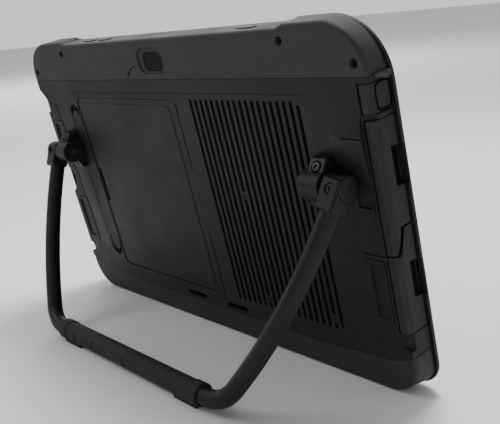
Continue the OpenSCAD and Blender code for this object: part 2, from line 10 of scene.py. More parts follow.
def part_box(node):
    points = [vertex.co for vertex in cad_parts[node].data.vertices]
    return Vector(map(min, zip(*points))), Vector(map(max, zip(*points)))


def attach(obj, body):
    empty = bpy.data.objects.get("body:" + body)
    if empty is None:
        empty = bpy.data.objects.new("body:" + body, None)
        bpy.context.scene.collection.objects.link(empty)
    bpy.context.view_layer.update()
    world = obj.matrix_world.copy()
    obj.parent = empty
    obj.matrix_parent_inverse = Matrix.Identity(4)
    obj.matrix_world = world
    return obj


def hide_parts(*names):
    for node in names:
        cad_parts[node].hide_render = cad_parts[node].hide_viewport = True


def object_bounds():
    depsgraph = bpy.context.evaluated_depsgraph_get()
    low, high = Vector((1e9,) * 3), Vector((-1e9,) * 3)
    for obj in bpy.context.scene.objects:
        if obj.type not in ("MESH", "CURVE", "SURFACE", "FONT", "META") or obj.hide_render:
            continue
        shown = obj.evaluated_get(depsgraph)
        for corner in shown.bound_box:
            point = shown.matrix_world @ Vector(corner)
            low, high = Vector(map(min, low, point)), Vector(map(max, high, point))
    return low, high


# A rugged field tablet on its bail stand, seen from behind.
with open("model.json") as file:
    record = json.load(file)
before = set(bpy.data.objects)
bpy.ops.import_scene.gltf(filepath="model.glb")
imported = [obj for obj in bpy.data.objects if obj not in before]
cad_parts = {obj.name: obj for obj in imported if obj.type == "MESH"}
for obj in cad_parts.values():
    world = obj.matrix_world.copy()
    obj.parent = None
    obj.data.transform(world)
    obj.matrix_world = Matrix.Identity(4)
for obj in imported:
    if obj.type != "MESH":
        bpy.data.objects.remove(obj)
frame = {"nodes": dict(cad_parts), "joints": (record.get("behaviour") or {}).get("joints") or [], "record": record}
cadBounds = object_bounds()
scene = bpy.context.scene
mm = 0.001


def jointNamed(name):
    # the record's joint of that name, as the frame holds it
    return next(j for j in frame["joints"] if j["name"] == name)


# The upright tablet's own axes: x to the right from behind, y from the rear face to the screen,
# z up along the leaning body; its origin is the middle of the rear face's lowest line.
tablet = {"doorX": 164.3, "doorY": 1.5}     # where the left door's pin stands, mm
leanUp = Vector(jointNamed("left_upper_door_swing")["axis"])
leanIn = -Vector(jointNamed("cover_lift")["axis"])
tabletAxes = np.array([(1, 0, 0), leanIn, leanUp], float)
tabletOrigin = (np.array(jointNamed("left_upper_door_swing")["pos_m"])
                - np.array((-tablet["doorX"], tablet["doorY"], 0)) * mm @ tabletAxes)

# The bail's own axes: origin in the middle of the hinge axis, legs down -z, y towards the tablet.
bailOrigin = np.array(jointNamed("bail_swing")["pos_m"])
sleeveLow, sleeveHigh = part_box("grip_sleeve")
barMiddle = (np.array(sleeveLow) + np.array(sleeveHigh)) / 2
bailLength = float(np.linalg.norm(barMiddle - bailOrigin)) / mm
bailUp = (bailOrigin - barMiddle) / (bailLength * mm)
bailAxes = np.array([(1, 0, 0), np.cross(bailUp, (1, 0, 0)), bailUp])


def onTablet(points):
    # millimetres in the tablet's axes become metres in the row frame
    return tabletOrigin + np.asarray(points, float) * mm @ tabletAxes


def onBail(points):
    # the same for millimetres in the bail's axes
    return bailOrigin + np.asarray(points, float) * mm @ bailAxes


def makeMesh(name, points, faces, place=onTablet, smooth=35):
    # points: an (n, 3) array in millimetres; faces: lists of indices; place puts them in the row frame
    mesh = bpy.data.meshes.new(name)
    mesh.from_pydata(place(points), [], [tuple(int(i) for i in f) for f in faces])
    return finishMesh(name, mesh, smooth)


def finishMesh(name, mesh, smooth):
    # links the mesh as a piece, shaded smooth but for edges sharper than smooth degrees
    mesh.validate()
    mesh.shade_smooth()
    mesh.set_sharp_from_angle(angle=math.radians(smooth))
    piece = bpy.data.objects.new(name, mesh)
    scene.collection.objects.link(piece)
    return piece


weld = {"made": 1e-6, "cad": 2e-6, "flatAngle": 1.0}     # merge distances in metres, and degrees


def outwards(piece):
    # merges doubles and turns all faces outwards
    build = bmesh.new()
    build.from_mesh(piece.data)
    bmesh.ops.remove_doubles(build, verts=build.verts, dist=weld["made"])
    bmesh.ops.recalc_face_normals(build, faces=build.faces)
    build.to_mesh(piece.data)
    build.free()
    return piece


def bevel(piece, width, angle, segments):
    # rounds the edges sharper than angle degrees, width in millimetres
    edge = piece.modifiers.new("edge", "BEVEL")
    edge.limit_method = "ANGLE"
    edge.angle_limit = math.radians(angle)
    edge.width = width * mm
    edge.segments = segments
    edge.harden_normals = True
    edge.use_clamp_overlap = False


def finishPiece(piece, body, material, slot, *nodes):
    # gives the piece its finish and body, and hides the CAD nodes that it stands in for; slot is not used
    piece.data.materials.clear()
    piece.data.materials.append(material)
    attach(piece, body)
    if nodes:
        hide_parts(*nodes)
    return piece


bodyOf = {n: b for b, ns in frame["record"]["behaviour"]["bodies"].items() for n in ns}
slotOf = {s["node"]: s["material_slot"] for s in frame["record"]["subparts"]}


def softened(node, material, width, angle=32, segments=2):
    # the CAD shape with its triangles merged into flat faces and its edges rounded
    mesh = frame["nodes"][node].data.copy()
    build = bmesh.new()
    build.from_mesh(mesh)
    bmesh.ops.remove_doubles(build, verts=build.verts, dist=weld["cad"])
    bmesh.ops.dissolve_limit(build, angle_limit=math.radians(weld["flatAngle"]),
                             verts=build.verts, edges=build.edges)
    build.to_mesh(mesh)
    build.free()
    piece = finishMesh(node + "_soft", mesh, angle)
    bevel(piece, width, angle, segments)
    return finishPiece(piece, bodyOf[node], material, slotOf[node], node)


def nodeGroup(name, inputs, outputs):
    # an empty node group; inputs: (label, kind, default), outputs: (label, kind)
    group = bpy.data.node_groups.new(name, "ShaderNodeTree")
    for label, kind, value in inputs:
        socket = group.interface.new_socket(label, in_out="INPUT", socket_type="NodeSocket" + kind)
        if value is not None:
            socket.default_value = value
    for label, kind in outputs:
        group.interface.new_socket(label, in_out="OUTPUT", socket_type="NodeSocket" + kind)
    enter, leave = group.nodes.new("NodeGroupInput"), group.nodes.new("NodeGroupOutput")
    return group, enter, leave


def feed(tree, socket, value):
    # a number or colour is set on the socket, and another node's output is linked to it
    if isinstance(value, (int, float, tuple)):
        socket.default_value = value
    else:
        tree.links.new(value, socket)


def mathNode(tree, operation, first, second, clamp=False):
    # first and second joined by the operation, held to 0 to 1 if clamp is set
    node = tree.nodes.new("ShaderNodeMath")
    node.operation = operation
    node.use_clamp = clamp
    feed(tree, node.inputs[0], first)
    feed(tree, node.inputs[1], second)
    return node.outputs[0]


def mixColour(tree, factor, first, second):
    # first at factor 0, second at factor 1; sockets 6 and 7 of a Mix node are its colours
    node = tree.nodes.new("ShaderNodeMix")
    node.data_type = "RGBA"
    for index, value in ((0, factor), (6, first), (7, second)):
        feed(tree, node.inputs[index], value)
    return node.outputs[2]


def noise(tree, vector, scale, detail=2.0, rough=0.5):
    # plain noise, scale in waves to the metre
    node = tree.nodes.new("ShaderNodeTexNoise")
    node.inputs["Detail"].default_value = detail
    node.inputs["Roughness"].default_value = rough
    tree.links.new(vector, node.inputs["Vector"])
    feed(tree, node.inputs["Scale"], scale)
    return node.outputs["Fac"]


def rangeOf(tree, value, fromLow, fromHigh, toLow=0.0, toHigh=1.0):
    # value stretched in a straight line from one range to the other, and held inside it
    node = tree.nodes.new("ShaderNodeMapRange")
    tree.links.new(value, node.inputs["Value"])
    ends = {"From Min": fromLow, "From Max": fromHigh, "To Min": toLow, "To Max": toHigh}
    for label, number in ends.items():
        feed(tree, node.inputs[label], number)
    return node.outputs["Result"]


# Each noise is (waves to the metre, detail, roughness), fine without the first as the finish gives it;
# each range holds the two values that are stretched to 0 and 1, or to the gloss
grain = {"scale": 1400.0, "gloss": (0.5, 0.65), "fine": (3.0, 0.6), "wide": (28.0, 4.0, 0.55),
         "share": 0.5, "range": (0.38, 0.62)}
rubbing = {"wear": 0.4, "drift": 0.1, "edge": (0.51, 0.60), "broken": (260.0, 4.0, 0.65),
           "brokenRange": (0.42, 0.62), "slow": (14.0, 3.0, 0.5), "slowRange": (0.35, 0.65)}
dust = {"amount": 0.1, "up": (-0.3, 1.0), "cloud": (60.0, 6.0, 0.7), "cloudRange": (0.4, 0.75),
        "colour": (0.12, 0.117, 0.11, 1)}


def mouldedGrain():
    # spark-eroded grain: two noises, a fine one for the pits and a wider one for uneven gloss
    group, enter, leave = nodeGroup(
        "mouldedGrain",
        [("Place", "Vector", None), ("Scale", "Float", grain["scale"]),
         ("Gloss Low", "Float", grain["gloss"][0]), ("Gloss High", "Float", grain["gloss"][1])],
        [("Height", "Float"), ("Roughness", "Float")])
    fine = noise(group, enter.outputs["Place"], enter.outputs["Scale"], *grain["fine"])
    wide = noise(group, enter.outputs["Place"], *grain["wide"])
    both = mathNode(group, "ADD", mathNode(group, "MULTIPLY", fine, grain["share"]),
                    mathNode(group, "MULTIPLY", wide, grain["share"]))
    rough = rangeOf(group, both, *grain["range"], enter.outputs["Gloss Low"], enter.outputs["Gloss High"])
    group.links.new(fine, leave.inputs["Height"])
    group.links.new(rough, leave.inputs["Roughness"])
    return group


def rubbedEdges():
    # colour drifts slowly over the surface, and is paler where an outer edge gets rubbed
    group, enter, leave = nodeGroup(
        "rubbedEdges",
        [("Place", "Vector", None), ("Colour", "Color", None), ("Rubbed Colour", "Color", None),
         ("Wear", "Float", rubbing["wear"]), ("Drift", "Float", rubbing["drift"])],
        [("Colour", "Color"), ("Mask", "Float")])
    geometry = group.nodes.new("ShaderNodeNewGeometry")
    convex = rangeOf(group, geometry.outputs["Pointiness"], *rubbing["edge"])
    broken = rangeOf(group, noise(group, enter.outputs["Place"], *rubbing["broken"]), *rubbing["brokenRange"])
    patchy = mathNode(group, "MULTIPLY", convex, broken)
    mask = mathNode(group, "MULTIPLY", patchy, enter.outputs["Wear"], True)
    drift = rangeOf(group, noise(group, enter.outputs["Place"], *rubbing["slow"]), *rubbing["slowRange"])
    worn = mixColour(group, mask, enter.outputs["Colour"], enter.outputs["Rubbed Colour"])
    amount = mathNode(group, "MULTIPLY", drift, enter.outputs["Drift"])
    colour = mixColour(group, amount, worn, enter.outputs["Rubbed Colour"])
    group.links.new(colour, leave.inputs["Colour"])
    group.links.new(mask, leave.inputs["Mask"])
    return group


def settledDust():
    # pale dust, thickest on faces that look up, in soft clouds
    group, enter, leave = nodeGroup(
        "settledDust",
        [("Place", "Vector", None), ("Colour", "Color", None), ("Amount", "Float", dust["amount"])],
        [("Colour", "Color")])
    geometry = group.nodes.new("ShaderNodeNewGeometry")
    split = group.nodes.new("ShaderNodeSeparateXYZ")
    group.links.new(geometry.outputs["Normal"], split.inputs[0])
    up = rangeOf(group, split.outputs["Z"], *dust["up"])
    cloud = rangeOf(group, noise(group, enter.outputs["Place"], *dust["cloud"]), *dust["cloudRange"])
    lying = mathNode(group, "MULTIPLY", up, cloud)
    amount = mathNode(group, "MULTIPLY", lying, enter.outputs["Amount"], True)
    colour = mixColour(group, amount, enter.outputs["Colour"], dust["colour"])
    group.links.new(colour, leave.inputs["Colour"])
    return group


groups = {"grain": mouldedGrain(), "edges": rubbedEdges(), "dust": settledDust()}


def useGroup(tree, key, values, place):
    # one of the shared groups, with its inputs filled from values by label
    node = tree.nodes.new("ShaderNodeGroup")
    node.node_tree = groups[key]
    tree.links.new(place, node.inputs["Place"])
    for label, value in values.items():
        feed(tree, node.inputs[label], value)
    return node


def newMaterial(name):
    # a material with its node tree, its shader and the Object coordinates
    material = bpy.data.materials.new(name)
    material.use_nodes = True
    tree = material.node_tree
    shader = tree.nodes["Principled BSDF"]
    place = tree.nodes.new("ShaderNodeTexCoord").outputs["Object"]
    return material, tree, shader, place


def grey(value, tint=(1.0, 1.0, 1.0)):
    # an opaque grey, pulled towards the tint
    return tuple(value * t for t in tint) + (1.0,)


defaultSpecular = 0.28


def finishMaterial(name, look):
    # one moulded, rubber or painted finish: look names its colour, gloss, grain, wear and dust
    material, tree, shader, place = newMaterial(name)
    edges = useGroup(tree, "edges", {"Colour": look["colour"], "Rubbed Colour": look["rubbed"],
                                     "Wear": look["wear"], "Drift": look["drift"]}, place)
    dusty = useGroup(tree, "dust", {"Colour": edges.outputs["Colour"], "Amount": look["dust"]}, place)
    pitted = useGroup(tree, "grain", {"Scale": look["scale"], "Gloss Low": look["gloss"][0],
                                      "Gloss High": look["gloss"][1]}, place)
    bump = tree.nodes.new("ShaderNodeBump")
    bump.inputs["Strength"].default_value = look["bump"]
    bump.inputs["Distance"].default_value = look["depth"] * mm
    tree.links.new(pitted.outputs["Height"], bump.inputs["Height"])
    tree.links.new(bump.outputs["Normal"], shader.inputs["Normal"])
    tree.links.new(dusty.outputs["Colour"], shader.inputs["Base Color"])
    tree.links.new(pitted.outputs["Roughness"], shader.inputs["Roughness"])
    shader.inputs["Metallic"].default_value = look.get("metal", 0.0)
    shader.inputs["Specular IOR Level"].default_value = look.get("specular", defaultSpecular)
    return material


casingPlastic = finishMaterial("casingPlastic", {
    "colour": grey(0.0075), "rubbed": grey(0.022), "wear": 0.5, "drift": 0.10, "dust": 0.05,
    "scale": 1100.0, "gloss": (0.52, 0.68), "bump": 0.5, "depth": 0.05})
bumperRubber = finishMaterial("bumperRubber", {
    "colour": grey(0.028), "rubbed": grey(0.06), "wear": 0.45, "drift": 0.12, "dust": 0.08,
    "scale": 1500.0, "gloss": (0.60, 0.78), "bump": 0.5, "depth": 0.05})
coverPlastic = finishMaterial("coverPlastic", {
    "colour": grey(0.0085), "rubbed": grey(0.025), "wear": 0.5, "drift": 0.12, "dust": 0.05,
    "scale": 1200.0, "gloss": (0.5, 0.66), "bump": 0.5, "depth": 0.05})
doorRubber = finishMaterial("doorRubber", {
    "colour": grey(0.018), "rubbed": grey(0.04), "wear": 0.4, "drift": 0.10, "dust": 0.06,
    "scale": 1600.0, "gloss": (0.55, 0.72), "bump": 0.4, "depth": 0.04})
bailCoat = finishMaterial("bailCoat", {
    "colour": grey(0.0075, (0.97, 0.98, 1.06)), "rubbed": grey(0.03), "wear": 0.3, "drift": 0.10,
    "dust": 0.04, "scale": 700.0, "gloss": (0.42, 0.55), "bump": 0.35, "depth": 0.06})
# near-black rubber: the hatch's real seal, and painted shade in the finger scoops and along the bumper's crease
blackSealAndPaintedShade = finishMaterial("blackSealAndPaintedShade", {
    "colour": grey(0.003), "rubbed": grey(0.008), "wear": 0.2, "drift": 0.10, "dust": 0.02,
    "scale": 1600.0, "gloss": (0.6, 0.75), "bump": 0.4, "depth": 0.04, "specular": 0.05})
gripRubber = finishMaterial("gripRubber", {
    "colour": grey(0.018), "rubbed": grey(0.045), "wear": 0.4, "drift": 0.14, "dust": 0.08,
    "scale": 1300.0, "gloss": (0.6, 0.8), "bump": 0.5, "depth": 0.05})
hingeCast = finishMaterial("hingeCast", {
    "colour": grey(0.007), "rubbed": grey(0.035), "wear": 0.6, "drift": 0.08, "dust": 0.04,
    "scale": 900.0, "gloss": (0.40, 0.56), "bump": 0.45, "depth": 0.05})
darkTrim = finishMaterial("darkTrim", {
    "colour": grey(0.004), "rubbed": grey(0.010), "wear": 0.2, "drift": 0.10, "dust": 0.02,
    "scale": 1500.0, "gloss": (0.55, 0.7), "bump": 0.3, "depth": 0.03})
screwSteel = finishMaterial("screwSteel", {
    "colour": grey(0.10), "rubbed": grey(0.25), "wear": 0.7, "drift": 0.25, "dust": 0.05,
    "scale": 2400.0, "gloss": (0.28, 0.45), "bump": 0.2, "depth": 0.02, "metal": 0.9})
darkSteel = finishMaterial("darkSteel", {
    "colour": grey(0.025), "rubbed": grey(0.10), "wear": 0.6, "drift": 0.2, "dust": 0.05,
    "scale": 2200.0, "gloss": (0.3, 0.48), "bump": 0.2, "depth": 0.02, "metal": 0.7})
blackSteel = finishMaterial("blackSteel", {
    "colour": grey(0.006), "rubbed": grey(0.03), "wear": 0.5, "drift": 0.2, "dust": 0.02,
    "scale": 2200.0, "gloss": (0.4, 0.55), "bump": 0.2, "depth": 0.02, "metal": 0.3})
innerMetal = finishMaterial("innerMetal", {
    "colour": grey(0.45), "rubbed": grey(0.6), "wear": 0.3, "drift": 0.2, "dust": 0.05, "scale": 1800.0,
    "gloss": (0.3, 0.5), "bump": 0.2, "depth": 0.02, "metal": 0.9})
boardGreen = finishMaterial("boardGreen", {
    "colour": (0.012, 0.07, 0.035, 1), "rubbed": grey(0.3), "wear": 0.3, "drift": 0.1, "dust": 0.05,
    "scale": 900.0, "gloss": (0.3, 0.5), "bump": 0.2, "depth": 0.02})
contactGold = finishMaterial("contactGold", {
    "colour": (0.75, 0.5, 0.2, 1), "rubbed": (0.85, 0.65, 0.35, 1), "wear": 0.3, "drift": 0.2,
    "dust": 0.05, "scale": 1800.0, "gloss": (0.2, 0.35), "bump": 0.1, "depth": 0.01, "metal": 1.0})


glass = {"smear": (45.0, 5.0, 0.7), "smearRange": (0.45, 0.7), "uneven": 0.12, "cloudScale": 9.0,
         "paler": 1.5, "coatRough": 0.03, "specular": 0.5}


def glassMaterial(name, colour, gloss, coat):
    # dark glass with faint smears in its gloss
    material, tree, shader, place = newMaterial(name)
    smear = rangeOf(tree, noise(tree, place, *glass["smear"]), *glass["smearRange"],
                    gloss, gloss + glass["uneven"])
    tree.links.new(smear, shader.inputs["Roughness"])
    pale = tuple(min(1, c * glass["paler"]) for c in colour[:3]) + (1.0,)
    tint = mixColour(tree, noise(tree, place, glass["cloudScale"]), colour, pale)
    tree.links.new(tint, shader.inputs["Base Color"])
    shader.inputs["Coat Weight"].default_value = coat
    shader.inputs["Coat Roughness"].default_value = glass["coatRough"]
    shader.inputs["Specular IOR Level"].default_value = glass["specular"] * coat
    return material


screenGlass = glassMaterial("screenGlass", grey(0.006, (0.9, 1.0, 1.1)), 0.06, 0.6)
lensGlass = glassMaterial("lensGlass", grey(0.006, (0.8, 0.9, 1.2)), 0.28, 0.06)

slotMaterial = {
    "casing": casingPlastic, "bezel": darkTrim, "bumper": bumperRubber, "cover": coverPlastic,
    "seal": darkTrim, "grip": gripRubber, "bail_paint": bailCoat, "steel": screwSteel,
    "frame_metal": innerMetal, "board": boardGreen, "battery": darkTrim, "contact": contactGold,
    "socket": innerMetal, "glass": screenGlass}
for nodeName, part in frame["nodes"].items():
    part.data.materials.clear()
    part.data.materials.append(slotMaterial[slotOf[nodeName]])
frame["nodes"]["camera_window"].data.materials[0] = lensGlass
frame["nodes"]["door_pins"].data.materials[0] = blackSteel
frame["nodes"]["dock_contacts"].data.materials[0] = blackSteel
print("materials done")

edgeWidth = {"casing": 0.25, "rim": 0.4, "cover": 0.3, "door": 0.8, "button": 0.25, "window": 0.2,
             "clip": 0.25, "cast": 0.7, "foot": 0.6}      # roundings, mm
softened("rear_casing", casingPlastic, edgeWidth["casing"])
softened("front_bezel", casingPlastic, edgeWidth["rim"])
softened("battery_cover", coverPlastic, edgeWidth["cover"])

# Finger scoops beside the right doors, whose faces get painted shade: axis as (x, depth), middle heights, half
# length and tolerance
scoop = {"axis": (184.8, 15.5), "radius": 16.0, "heights": (136.0, 72.0), "half": 10.5, "near": 0.2}


def paintScoopShade(piece):
    # faces on the scoop's cylinder, and its two end faces, get painted shade: a darker material that stands in for
    # the shade in the hollow
    # the second material is the painted shade for the scoop
    piece.data.materials.append(blackSealAndPaintedShade)
    count = len(piece.data.polygons)
    centres = np.empty(count * 3)
    piece.data.polygons.foreach_get("center", centres)
    own = (centres.reshape(-1, 3) - tabletOrigin) @ tabletAxes.T / mm
    away = np.hypot(own[:, 0] - scoop["axis"][0], own[:, 1] - scoop["axis"][1])
    up = np.min([np.abs(own[:, 2] - h) for h in scoop["heights"]], 0)
    wall = (np.abs(away - scoop["radius"]) < scoop["near"]) & (up < scoop["half"])
    ends = (np.abs(up - scoop["half"]) < scoop["near"]) & (away < scoop["radius"])
    # these faces get the painted shade
    inside = wall | ends
    piece.data.polygons.foreach_set("material_index", inside.astype(np.int32))


# each door's scoop faces get painted shade
for nodeName in ("right_upper_door", "right_lower_door", "left_upper_door", "left_lower_door", "hatch"):
    paintScoopShade(softened(nodeName, doorRubber, edgeWidth["door"], 30, 3))
for nodeName in ("upper_latch", "lower_latch", "power_button", "volume_up", "volume_down", "upper_key",
                 "middle_key", "lower_key"):
    softened(nodeName, coverPlastic, edgeWidth["button"])
softened("camera_window", lensGlass, edgeWidth["window"])
softened("strap_clips", casingPlastic, edgeWidth["clip"])
for nodeName in ("right_hinge_block", "left_hinge_block", "right_bail_end", "left_bail_end"):
    softened(nodeName, hingeCast, edgeWidth["cast"], segments=3)
print("body done")


flatFrom = 0.99998     # faces this square to the tablet's axes are shaded flat


class Shell:
    # gathers the points and faces of one open or closed surface, in millimetres
    def __init__(self):
        self.points, self.faces = [], []
        self.count = 0

    def add(self, points):
        # keeps the points, and returns their numbers in the same grid
        points = np.asarray(points, float)
        ids = np.arange(points[..., 0].size).reshape(points.shape[:-1]) + self.count
        self.points.append(points.reshape(-1, 3))
        self.count += ids.size
        return ids

    def quads(self, ids, around=False, keep=None):
        # a grid of points becomes quads; keep is a mask over them
        if around:
            ids = np.concatenate([ids, ids[:, :1]], 1)
        cells = np.stack([ids[:-1, :-1], ids[:-1, 1:], ids[1:, 1:], ids[1:, :-1]], -1)
        cells = cells.reshape(-1, 4) if keep is None else cells[keep]
        self.faces += cells.tolist()

    def plate(self, loops, axes=(0, 2)):
        # fills the room between an outer loop and the holes in it; axes are the two it is flat in
        points = np.concatenate(self.points)
        ids = np.concatenate([np.ravel(loop) for loop in loops])
        flatLoops = [[Vector((*points[i][list(axes)], 0.0)) for i in np.ravel(loop)] for loop in loops]
        self.faces += [[int(ids[k]) for k in face] for face in tessellate_polygon(flatLoops)]

    def piece(self, name, place=onTablet, smooth=40, thickness=0.0):
        # the finished piece; thickness in millimetres goes inwards
        piece = outwards(makeMesh(name, np.concatenate(self.points), self.faces, place, smooth))
        normals = np.empty(3 * len(piece.data.polygons))
        piece.data.polygons.foreach_get("normal", normals)
        plane = np.abs(normals.reshape(-1, 3) @ tabletAxes.T).max(1) > flatFrom
        piece.data.polygons.foreach_set("use_smooth", ~plane)
        if thickness:
            skin = piece.modifiers.new("skin", "SOLIDIFY")
            skin.thickness = thickness * mm
            skin.offset = -1.0
        return piece


def roundedLoop(wide, high, radius, middle, steps=10):
    # four quarter arcs joined by straight edges, as (n, 2) points
    turn = np.concatenate([np.linspace(q, q + 1, steps) for q in range(4)]) * np.pi / 2
    side = np.repeat([(1, 1), (-1, 1), (-1, -1), (1, -1)], steps, 0)
    corner = side * (wide / 2 - radius, high / 2 - radius)
    return corner + radius * np.stack([np.cos(turn), np.sin(turn)], 1) + middle


def inFace(loop, depth):
    # an outline of (x, z) points at one depth below the rear face
    return np.stack([loop[:, 0], np.full(len(loop), depth), loop[:, 1]], 1)


def sunk(shell, sizes, middle):
    # loops of growing depth joined into one recess; sizes: (width, height, radius, depth)
    rings = np.stack([inFace(roundedLoop(w, h, r, middle), depth) for w, h, r, depth in sizes])
    ids = shell.add(rings)
    shell.quads(ids, True)
    return ids


# Both bumpers: turn* are corner radii at the rear face, at the rounding and at the rim; round* are the depth
# and the inset of the rounding; the top line dips between the corners; wall is the rubber's thickness
bumper = {"half": 170.25, "halfRim": 170.7, "high": 212.5, "rim": 15.5, "wall": 1.7,
          "turnTop": (24.0, 27.0, 31.0), "turnLow": (19.0, 22.0, 16.0),
          "roundTop": (3.0, 1.9), "roundLow": (4.4, 2.6), "leastRise": 0.2,
          "seam": 184.6, "dip": 2.0, "dipHalf": 112.0, "dipRun": 8.0, "dipAbove": 200.0, "flatHalf": 108.0,
          "tolerance": 0.01}
# Height of the bottom bumper's upper seam at each distance from the middle, and its corners on the rear face
seamRise = {"x": (0, 100, 155, 170, 180), "z": (18.4, 18.4, 22.4, 27.4, 29.4),
            "flatX": (-155, -100, 100, 155)}
# Points along each stretch of the two outlines
fineness = {"rounding": 10, "flank": 7, "side": 8, "corner": 30, "toDip": 5, "dip": 12, "top": 12,
            "sideLow": 6, "cornerLow": 24, "bottom": 14}
# Key openings in the top edge: (middle, length) of each, then (growth, depth) of each step down
keyHoles = {"at": ((84.0, 15.0), (-64.0, 13.0), (-84.0, 13.0)), "wide": 5.6, "depth": 9.0,
            "steps": ((0.5, 0.0), (0.0, 0.3), (0.0, 2.6))}
# Recess and bore of the camera, and the screw wells: (width, height, radius, depth) of each step
cameraSeat = {
    "recess": ((31.4, 18.4, 7.7, 0.0), (30.6, 17.6, 7.3, 0.1), (30, 17, 7, 0.45), (29.6, 16.6, 6.8, 1.1),
               (28.8, 15.8, 6.4, 1.4)),
    "recessAt": (-2.6, 196.4),
    "bore": ((21.2, 13.2, 5.3, 1.4), (20.6, 12.6, 5.0, 1.65), (20.6, 12.6, 5.0, 4.0)),
    "boreAt": (-2.6, 195.6)}
screwWell = ((5.6, 5.6, 2.8, 0.0), (4.8, 4.8, 2.4, 0.3), (4.6, 4.6, 2.3, 0.7), (4.6, 4.6, 2.3, 4.4))
bumperScrewSpots = ((-163.3, 191.2), (-116.0, 204.0), (116.0, 204.0), (163.3, 191.2))


def bumperStations(radii, deep, inset):
    # an elliptic rounding from the rear face to the flank, then straight to the rim:
    # depth, half width, inset from the outer line and corner radius at each station
    t = np.linspace(0, np.pi / 2, fineness["rounding"])
    u = np.linspace(0, 1, fineness["flank"])[1:]
    away = 1 - np.sin(t)
    depth = np.concatenate([deep * (1 - np.cos(t)), deep + (bumper["rim"] - deep) * u])
    inward = np.concatenate([inset * away, 0 * u])
    half = np.concatenate([bumper["half"] - inset * away,
                           bumper["half"] + (bumper["halfRim"] - bumper["half"]) * u])
    radius = np.concatenate([radii[1] - (radii[1] - radii[0]) * away,
                             radii[1] + (radii[2] - radii[1]) * u])
    return [v[:, None] for v in (depth, half, inward, radius)], len(t) - 1


def mirroredRun(x, z):
    # the run followed by its mirror image, from the right side round to the left
    return np.concatenate([x, -x[:, ::-1]], 1), np.concatenate([z, z[:, ::-1]], 1)


def topOutline(half, radius, high):
    # side, quarter arc and top line at each station; the top line eases down by a smooth cubic step
    b, f = bumper, fineness
    u, arc = np.linspace(0, 1, f["side"])[None, :-1], np.linspace(0, np.pi / 2, f["corner"])[None]
    dipEdge = b["dipHalf"] + b["dipRun"]
    fixed = np.concatenate([np.linspace(dipEdge, b["dipHalf"], f["dip"]),
                            np.linspace(b["flatHalf"], 0, f["top"])[:-1]])
    toDip = (half - radius) + (fixed[0] - half + radius) * np.linspace(0, 1, f["toDip"])[None, 1:-1]
    x = np.concatenate([half + 0 * u, half - radius + radius * np.cos(arc), toDip, fixed + 0 * half], 1)
    z = np.concatenate([b["seam"] + (high - radius - b["seam"]) * u, high - radius + radius * np.sin(arc),
                        high + 0 * toDip, high + 0 * fixed], 1)
    ease = np.clip((dipEdge - x) / b["dipRun"], 0, 1)
    z = np.where(z > b["dipAbove"], z - b["dip"] * ease ** 2 * (3 - 2 * ease), z)
    return mirroredRun(x, z)


def keyRings(shell):
    # openings in the top edge, each a rounded loop that narrows as it goes down; returns their rims
    rims = []
    for middle, long in keyHoles["at"]:
        loops = []
        for grow, down in keyHoles["steps"]:
            wide = keyHoles["wide"] + grow
            ring = roundedLoop(long + grow, wide, wide / 2, (middle, keyHoles["depth"]))
            loops.append(np.column_stack([ring, np.full(len(ring), bumper["high"] - bumper["dip"] - down)]))
        ring = shell.add(np.stack(loops))
        shell.quads(ring, True)
        rims.append(ring[0])
    return rims


def topBumper():
    # the outline carried through the stations, with the flat top strip left out for the key openings
    b = bumper
    (depth, half, inward, radius), fillet = bumperStations(b["turnTop"], *b["roundTop"])
    x, z = topOutline(half, radius, b["high"] - inward)
    shell = Shell()
    ids = shell.add(np.stack([x, depth + 0 * x, z], -1))
    flank = np.zeros((ids.shape[0] - 1, ids.shape[1] - 1), bool)
    level = np.flatnonzero(np.abs(x[0]) <= b["flatHalf"] + b["tolerance"])
    flank[fillet:, level[0]:level[-1]] = True
    shell.quads(ids, keep=~flank)
    rim = [ids[fillet, level], ids[fillet + 1:, level[-1]],
           ids[-1, level[-2::-1]], ids[-2:fillet:-1, level[0]]]
    shell.plate([np.concatenate(rim)] + keyRings(shell), (0, 1))
    recess = sunk(shell, cameraSeat["recess"], cameraSeat["recessAt"])
    bore = sunk(shell, cameraSeat["bore"], cameraSeat["boreAt"])
    shell.plate([recess[-1], bore[0]])
    wells = [sunk(shell, screwWell, spot) for spot in bumperScrewSpots]
    for well in wells:
        shell.plate([well[-1]])
    shell.plate([ids[0], recess[0]] + [well[0] for well in wells])
    return finishPiece(shell.piece("top_bumper_moulded", thickness=b["wall"]), "tablet", bumperRubber,
                       slotOf["top_bumper"], "top_bumper")


def bottomBumper():
    # side, corner arc and bottom line carried through the stations, up to the curved seam
    b, f = bumper, fineness
    (depth, half, low, radius), _ = bumperStations(b["turnLow"], *b["roundLow"])
    top = np.interp(half, seamRise["x"], seamRise["z"])
    u, arc = np.linspace(0, 1, f["sideLow"])[None, :-1], np.linspace(0, np.pi / 2, f["cornerLow"])[None]
    flat = (half - radius) * np.linspace(1, 0, f["bottom"])[None, 1:-1]
    rise = np.maximum(top - low - radius, b["leastRise"])
    x = np.concatenate([half + 0 * u, half - radius + radius * np.cos(arc), flat], 1)
    z = np.concatenate([top - rise * u, low + radius - radius * np.sin(arc), low + 0 * flat], 1)
    x, z = mirroredRun(x, z)
    shell = Shell()
    ids = shell.add(np.stack([x, depth + 0 * x, z], -1))
    shell.quads(ids)
    seamX = np.array(seamRise["flatX"])
    seam = shell.add(np.stack([seamX, 0 * seamX, np.interp(np.abs(seamX), seamRise["x"], seamRise["z"])], 1))
    shell.plate([np.concatenate([ids[0], seam])])
    return finishPiece(shell.piece("bottom_bumper_moulded", thickness=b["wall"]), "tablet", bumperRubber,
                       slotOf["bottom_bumper"], "bottom_bumper")


# aside is any direction off the strips' own; taper is how far from nothing an open strip starts, in radians
strip = {"sides": 10, "aside": (0.31, 0.9, 0.17), "taper": 0.12, "smooth": 60}


